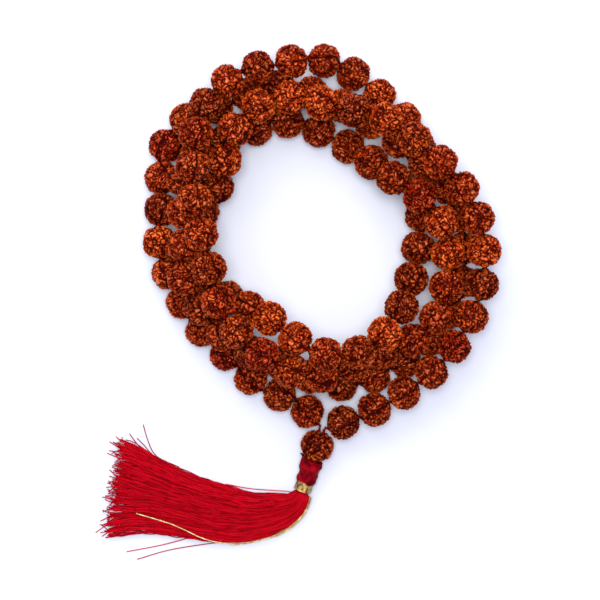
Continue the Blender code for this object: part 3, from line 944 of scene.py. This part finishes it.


# The band's near-black dull colour paints dark reflections into the foil beside its tarnish; the worn gold's
# dull colour is lighter.
zari = zari_finish("zari_foil", (0.46, 0.31, 0.11), (0.03, 0.015, 0.003))
worn_zari = zari_finish("worn_zari", (0.80, 0.64, 0.34), (0.50, 0.36, 0.15))
first, last = BAND_START + BAND_EDGE_RADIUS, BAND_END - BAND_EDGE_RADIUS
winding_steps = BAND_TURNS * BAND_TURN_STEPS
winding = []
for step in range(winding_steps + 1):
    reach = first + (last - first) * step / winding_steps
    winding.append(at_neck(reach, BAND_RADIUS - BAND_THREAD_RADIUS, math.tau * step / BAND_TURN_STEPS))
band = grown(
    "zari_winding", lines("band_lines", [np.array(winding)]), cord_group,
    Radius=BAND_THREAD_RADIUS, Sides=10, Finish=zari,
)
rim_angles = [math.tau * step / BAND_EDGE_STEPS for step in range(BAND_EDGE_STEPS)]
rim_radius = BAND_RADIUS - BAND_EDGE_RADIUS * 0.6
edges = [np.array([at_neck(reach, rim_radius, angle) for angle in rim_angles]) for reach in (first, last)]
rims = grown(
    "zari_edges", lines("edge_lines", edges, closed=True), cord_group,
    Radius=BAND_EDGE_RADIUS, Finish=zari,
)
for piece in (band, rims):
    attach(piece, "tassel_neck")
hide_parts("gold_band")


# ---- Skirt of the tassel ----
# Several hundred loose threads of scarlet silk, spread flat on the ground and cut straight across. A few
# have come away from the rest, and the cut ends are ragged.

SKIRT_STATIONS = np.array([
    (-5.4, -63.5, 2.9, 4.3), (-9.2, -65.2, 4.5, 4.1), (-15.4, -66.5, 5.8, 3.8),
    (-22.2, -66.0, 6.9, 3.5), (-30.4, -64.2, 7.6, 3.2), (-38.5, -62.0, 8.9, 2.9),
    (-45.4, -60.4, 11.2, 2.6), (-48.2, -60.0, 12.0, 2.4),
]) * MM
SKIRT_START, SKIRT_START_RADIUS = 6.2 * MM, 1.3 * MM
SKIRT_FULL, SKIRT_FULL_RADIUS = 7.0 * MM, 2.15 * MM
SKIRT_FLOOR, SKIRT_BULGE = 0.40, 0.60
THREAD_RADIUS = 0.125 * MM
THREAD_COUNT = 460
THREAD_STEP = 1.4 * MM
LOCKS, LOCK_GATHER, LOCK_DIP, LOCK_DRIFT = 6.5, 0.85, 0.35, 2.5
WAVE = 0.16 * MM
BED_WIDTH, BED_HEIGHT = 0.896, 0.72

from_ring = guru_centre - GURU_PLACE
sections = [
    (at_neck(SKIRT_START), across_neck, above_neck, SKIRT_START_RADIUS, SKIRT_START_RADIUS),
    (at_neck(SKIRT_FULL), across_neck, above_neck, SKIRT_FULL_RADIUS, SKIRT_FULL_RADIUS),
]
middles = np.pad(SKIRT_STATIONS[:, :2], ((0, 0), (0, 1))) + from_ring * (1, 1, 0)
run = np.vstack([at_neck(SKIRT_FULL) * (1, 1, 0), middles])
for number, (_, _, half_width, height) in enumerate(SKIRT_STATIONS):
    along = unit(run[min(number + 2, len(middles))] - run[number])
    sections.append((middles[number], np.cross((0, 0, 1), along), None, half_width, height))


def in_section(section, across, up):
    """A point in a section, from -1 to 1 across it and from -1 to 1 up it."""
    centre, side, upward, half_width, height = section
    if upward is not None:
        return centre + half_width * (across * side + up * upward)
    raised = max(THREAD_RADIUS, height * (SKIRT_FLOOR + SKIRT_BULGE * up))
    return centre + side * half_width * across + np.array([0.0, 0.0, raised])


draw = np.random.default_rng(54)
thread_routes = []
for _ in range(THREAD_COUNT):
    across = draw.uniform(-1.0, 1.0)
    layer = draw.uniform(0.55, 1.0) * (1.0 if draw.random() < 0.8 else -1.0)
    sway, turn, rate = draw.normal(0.0, 0.035), draw.uniform(0, math.tau), draw.uniform(2.0, 5.0)
    knots = []
    for number, section in enumerate(sections):
        part = number / (len(sections) - 1)
        in_lock = math.tau * LOCKS * across + LOCK_DRIFT * part
        gathered = across - LOCK_GATHER * part * math.sin(in_lock) / (math.tau * LOCKS)
        swaying = sway * math.sin(rate * part * 3 + turn) * min(1.0, 2 * part)
        moved = np.clip(gathered * 0.97 + swaying, -1.0, 1.0)
        ridge = 1.0 - LOCK_DIP * part * (0.5 + 0.5 * math.cos(in_lock))
        knots.append(in_section(section, moved, layer * ridge * math.sqrt(max(0.0, 1 - moved * moved))))
    route = smooth_route(np.array(knots), THREAD_STEP)
    waves = WAVE * np.sin(np.arange(len(route)) * draw.uniform(0.7, 1.5) + draw.uniform(0, math.tau, (2, 1)))
    route[4:-1, 1] += waves[0, 4:-1]
    route[4:-1, 2] = np.maximum(THREAD_RADIUS, route[4:-1, 2] + 0.6 * waves[1, 4:-1])
    ending = unit(route[-1] - route[-3])
    strays = draw.random() < 0.16
    more = draw.normal(-0.4, 0.9) * MM + (draw.uniform(0.8, 2.6) * MM if strays else 0.0)
    if more > 0.15 * MM:
        aside = np.cross((0, 0, 1), ending) * draw.normal(0.0, 0.7 if strays else 0.25)
        tip = route[-1] + unit(ending + aside) * more
        tip[2] = max(THREAD_RADIUS, tip[2] + draw.normal(-0.1, 0.25) * MM)
        route = np.vstack([route, tip])
    else:
        back = int(-more / THREAD_STEP)
        route = route[: len(route) - back]
        if len(route) > 3:
            route[-1] += (route[-2] - route[-1]) * min(0.9, (-more / THREAD_STEP) % 1.0)
    thread_routes.append(route)

STRAYS = [
    [(-17.0, -71.6, 0.4), (-22.0, -72.6, 0.3), (-34.5, -74.5, 0.13), (-43.1, -76.9, 0.13)],
    [(-22.5, -71.4, 0.5), (-28.2, -71.3, 0.3), (-37.2, -73.5, 0.13), (-45.6, -75.1, 0.13)],
    [(-33.0, -54.9, 0.8), (-38.4, -52.3, 0.8), (-40.4, -48.8, 0.7), (-41.6, -44.7, 0.9)],
    [(-34.0, -54.7, 0.7), (-39.3, -52.0, 0.6), (-41.2, -49.9, 0.4), (-43.1, -48.0, 0.3)],
    [(-36.0, -54.0, 0.7), (-41.0, -51.3, 0.6), (-43.2, -49.2, 0.5), (-44.9, -46.9, 0.5)],
    [(-5.0, -60.9, 3.0), (-7.5, -60.5, 2.6), (-11.5, -60.3, 2.0), (-16.5, -59.9, 1.6), (-22.0, -58.9, 1.2)],
]
for stray in STRAYS:
    thread_routes.append(smooth_route(np.array(stray) * MM + from_ring * (1, 1, 0), THREAD_STEP))
skirt = grown(
    "silk_skirt", lines("skirt_lines", thread_routes), cord_group,
    Radius=THREAD_RADIUS, Sides=5, Finish=silk,
)

bed_sides, bed_step = 28, 1.5 * MM
bed_points, bed_faces, bed_knots = [], [], []
for section in sections:
    ring = []
    for side in range(bed_sides):
        angle = math.tau * side / bed_sides
        ring.append(in_section(section, BED_WIDTH * math.cos(angle), BED_HEIGHT * math.sin(angle)))
    bed_knots.append(ring)
bed_routes = [
    smooth_route(np.array([ring[side] for ring in bed_knots[:-1]]), bed_step) for side in range(bed_sides)
]
rows = min(len(route) for route in bed_routes)
for row in range(rows):
    for route in bed_routes:
        bed_points.append(tuple(route[round(row * (len(route) - 1) / (rows - 1))]))
for row in range(rows - 1):
    for side in range(bed_sides):
        here, after = row * bed_sides + side, row * bed_sides + (side + 1) % bed_sides
        bed_faces.append((here, after, after + bed_sides, here + bed_sides))
bed_faces.append(tuple(reversed(range(bed_sides))))
bed_faces.append(tuple(range((rows - 1) * bed_sides, rows * bed_sides)))
bed_mesh = bpy.data.meshes.new("silk_bed")
bed_mesh.from_pydata(bed_points, [], bed_faces)
bed = add_piece("silk_bed", bed_mesh)


def silk_bed_finish():
    """The mass of threads under the top ones, painted darker than the silk above as painted shade, with long
    dark and light streaks along the skirt.
    """
    made, tree, shader = new_finish("silk_mass")
    place = tree.place()
    stretched = tree.add(
        "ShaderNodeMapping", {}, {"Vector": place, "Rotation": (0.0, 0.0, 0.12), "Scale": (0.12, 2.2, 2.2)}
    )
    streak = tree.noise(stretched, 1.6, 3.0)
    # Painted shade: these stops are about half as bright as the silk of the top threads, and nearly black in
    # the dark streaks.
    stops = [(0.3, (0.03, 0.0, 0.0005)), (0.5, (0.14, 0.0, 0.002)), (0.75, (0.30, 0.001, 0.005))]
    colour = tree.add("ShaderNodeValToRGB", {"stops": stops}, {"Fac": streak}, "Color")
    bump = tree.add("ShaderNodeBump", {}, {"Height": streak, "Strength": 0.8, "Distance": 0.2 * MM})
    tree.link(colour, shader.inputs["Base Color"])
    tree.link(0.5 + streak * 0.15, shader.inputs["Roughness"])
    tree.link(bump, shader.inputs["Normal"])
    shader.inputs["Specular IOR Level"].default_value = 0.02
    return made


bed.data.materials.append(silk_bed_finish())
sway_start, sway_end = at_neck(5.4 * MM), np.array(sections[4][0]) + (0, 0, 2 * MM)
for piece in (skirt, bed):
    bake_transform(piece)
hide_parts("tassel_skirt")


# ---- Gold strands in the skirt ----
# Zari threads let into the edge of the skirt from under the binding. One is longer, and crosses the silk
# loose to its cut end.

STRAND_RADIUS = 0.15 * MM
STRAND_STEP = 0.3 * MM
EDGE_THREAD_RADIUS = 0.14 * MM
EDGE_THREAD_PLACES = (-0.42 * MM, -0.2 * MM, 0.3 * MM, -0.62 * MM)
EDGE_THREAD_POINTS = 8
EDGE_THREAD_RISE, EDGE_THREAD_STACK = 0.2 * MM, 0.12 * MM
STRAND_ROUTE = np.array([
    (-2.1, -61.8, 2.5), (-2.6, -63.5, 1.7), (-3.8, -65.9, 1.0), (-6.5, -68.7, 0.6),
    (-10.3, -70.9, 0.45), (-14.0, -72.0, 0.45), (-17.5, -72.7, 0.6), (-21.0, -72.9, 1.2),
    (-24.4, -72.5, 2.3), (-27.6, -71.5, 3.0), (-31.1, -69.8, 3.6), (-35.0, -68.1, 3.7),
    (-39.3, -66.8, 3.4), (-43.1, -65.7, 3.2),
]) * MM

strand_path = smooth_route(STRAND_ROUTE, STRAND_STEP) + from_ring * (1, 1, 0)
strand = grown(
    "gold_strand_thread", lines("strand_line", [strand_path]), cord_group,
    Radius=STRAND_RADIUS, Finish=worn_zari,
)
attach(strand, "tassel_skirt")
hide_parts("gold_strand")

beside = []
for number, aside in enumerate(EDGE_THREAD_PLACES):
    path = STRAND_ROUTE[: EDGE_THREAD_POINTS - number].copy()
    turn = np.gradient(path, axis=0)
    path += np.cross(turn / np.linalg.norm(turn, axis=1, keepdims=True), (0, 0, 1)) * aside
    path[:, 2] += EDGE_THREAD_RISE + EDGE_THREAD_STACK * number
    beside.append(smooth_route(path, STRAND_STEP) + from_ring * (1, 1, 0))
edging = grown(
    "gold_edge_threads", lines("edge_thread_lines", beside), cord_group,
    Radius=EDGE_THREAD_RADIUS, Sides=8, Finish=worn_zari,
)
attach(edging, "tassel_skirt")


# ---- Floor, light and camera ----
# A pale sheet, lit softly from straight above, with daylight from the far side. The camera looks straight
# down on it.

FLOOR_SIZE = 1.6
FLOOR_DROP = 0.06 * MM
PICTURE_WIDTH = 141.2 * MM
PICTURE_MIDDLE = (-0.69 * MM, -1.30 * MM)
PICTURE_PLANE = 8 * MM
LENS, SENSOR = 150.0, 36.0
SHEET_COLOUR, SHEET_ROUGHNESS = (0.55, 0.566, 0.645, 1.0), 0.9
SKY_COLOUR, SKY_STRENGTH = (0.80, 0.84, 1.0, 1.0), 0.85

floor_mesh = bpy.data.meshes.new("floor")
half = FLOOR_SIZE / 2
floor_mesh.from_pydata(
    [(x * half, y * half, -FLOOR_DROP) for x, y in ((-1, -1), (1, -1), (1, 1), (-1, 1))],
    [],
    [(0, 1, 2, 3)],
)
floor = placed("floor", floor_mesh)
paper, _, sheet_shader = new_finish("white_sheet")
sheet_shader.inputs["Base Color"].default_value = SHEET_COLOUR
sheet_shader.inputs["Roughness"].default_value = SHEET_ROUGHNESS
floor_mesh.materials.append(paper)


def add_light(name, place, size, power, colour):
    lamp = bpy.data.lights.new(name, "AREA")
    lamp.shape, lamp.size, lamp.energy, lamp.color = "DISK", size, power, colour
    made = placed(name, lamp)
    made.location = place
    made.rotation_euler = (-Vector(place)).to_track_quat("-Z", "Y").to_euler()


add_light("window", (-0.12, 0.42, 0.5), 0.6, 3.2, (1.0, 0.98, 0.95))
add_light("overhead", (0.0, 0.03, 0.8), 0.3, 6.2, (1.0, 0.99, 0.97))

sky = bpy.data.worlds.new("daylight")
bpy.context.scene.world = sky
sky.use_nodes = True
backdrop = sky.node_tree.nodes["Background"]
backdrop.inputs["Color"].default_value = SKY_COLOUR
backdrop.inputs["Strength"].default_value = SKY_STRENGTH

camera_data = bpy.data.cameras.new("camera")
camera_data.lens, camera_data.sensor_width = LENS, SENSOR
camera = placed("camera", camera_data)
camera.location = (*PICTURE_MIDDLE, PICTURE_PLANE + PICTURE_WIDTH * LENS / SENSOR)
bpy.context.scene.camera = camera
bpy.context.scene.view_settings.view_transform = "Standard"
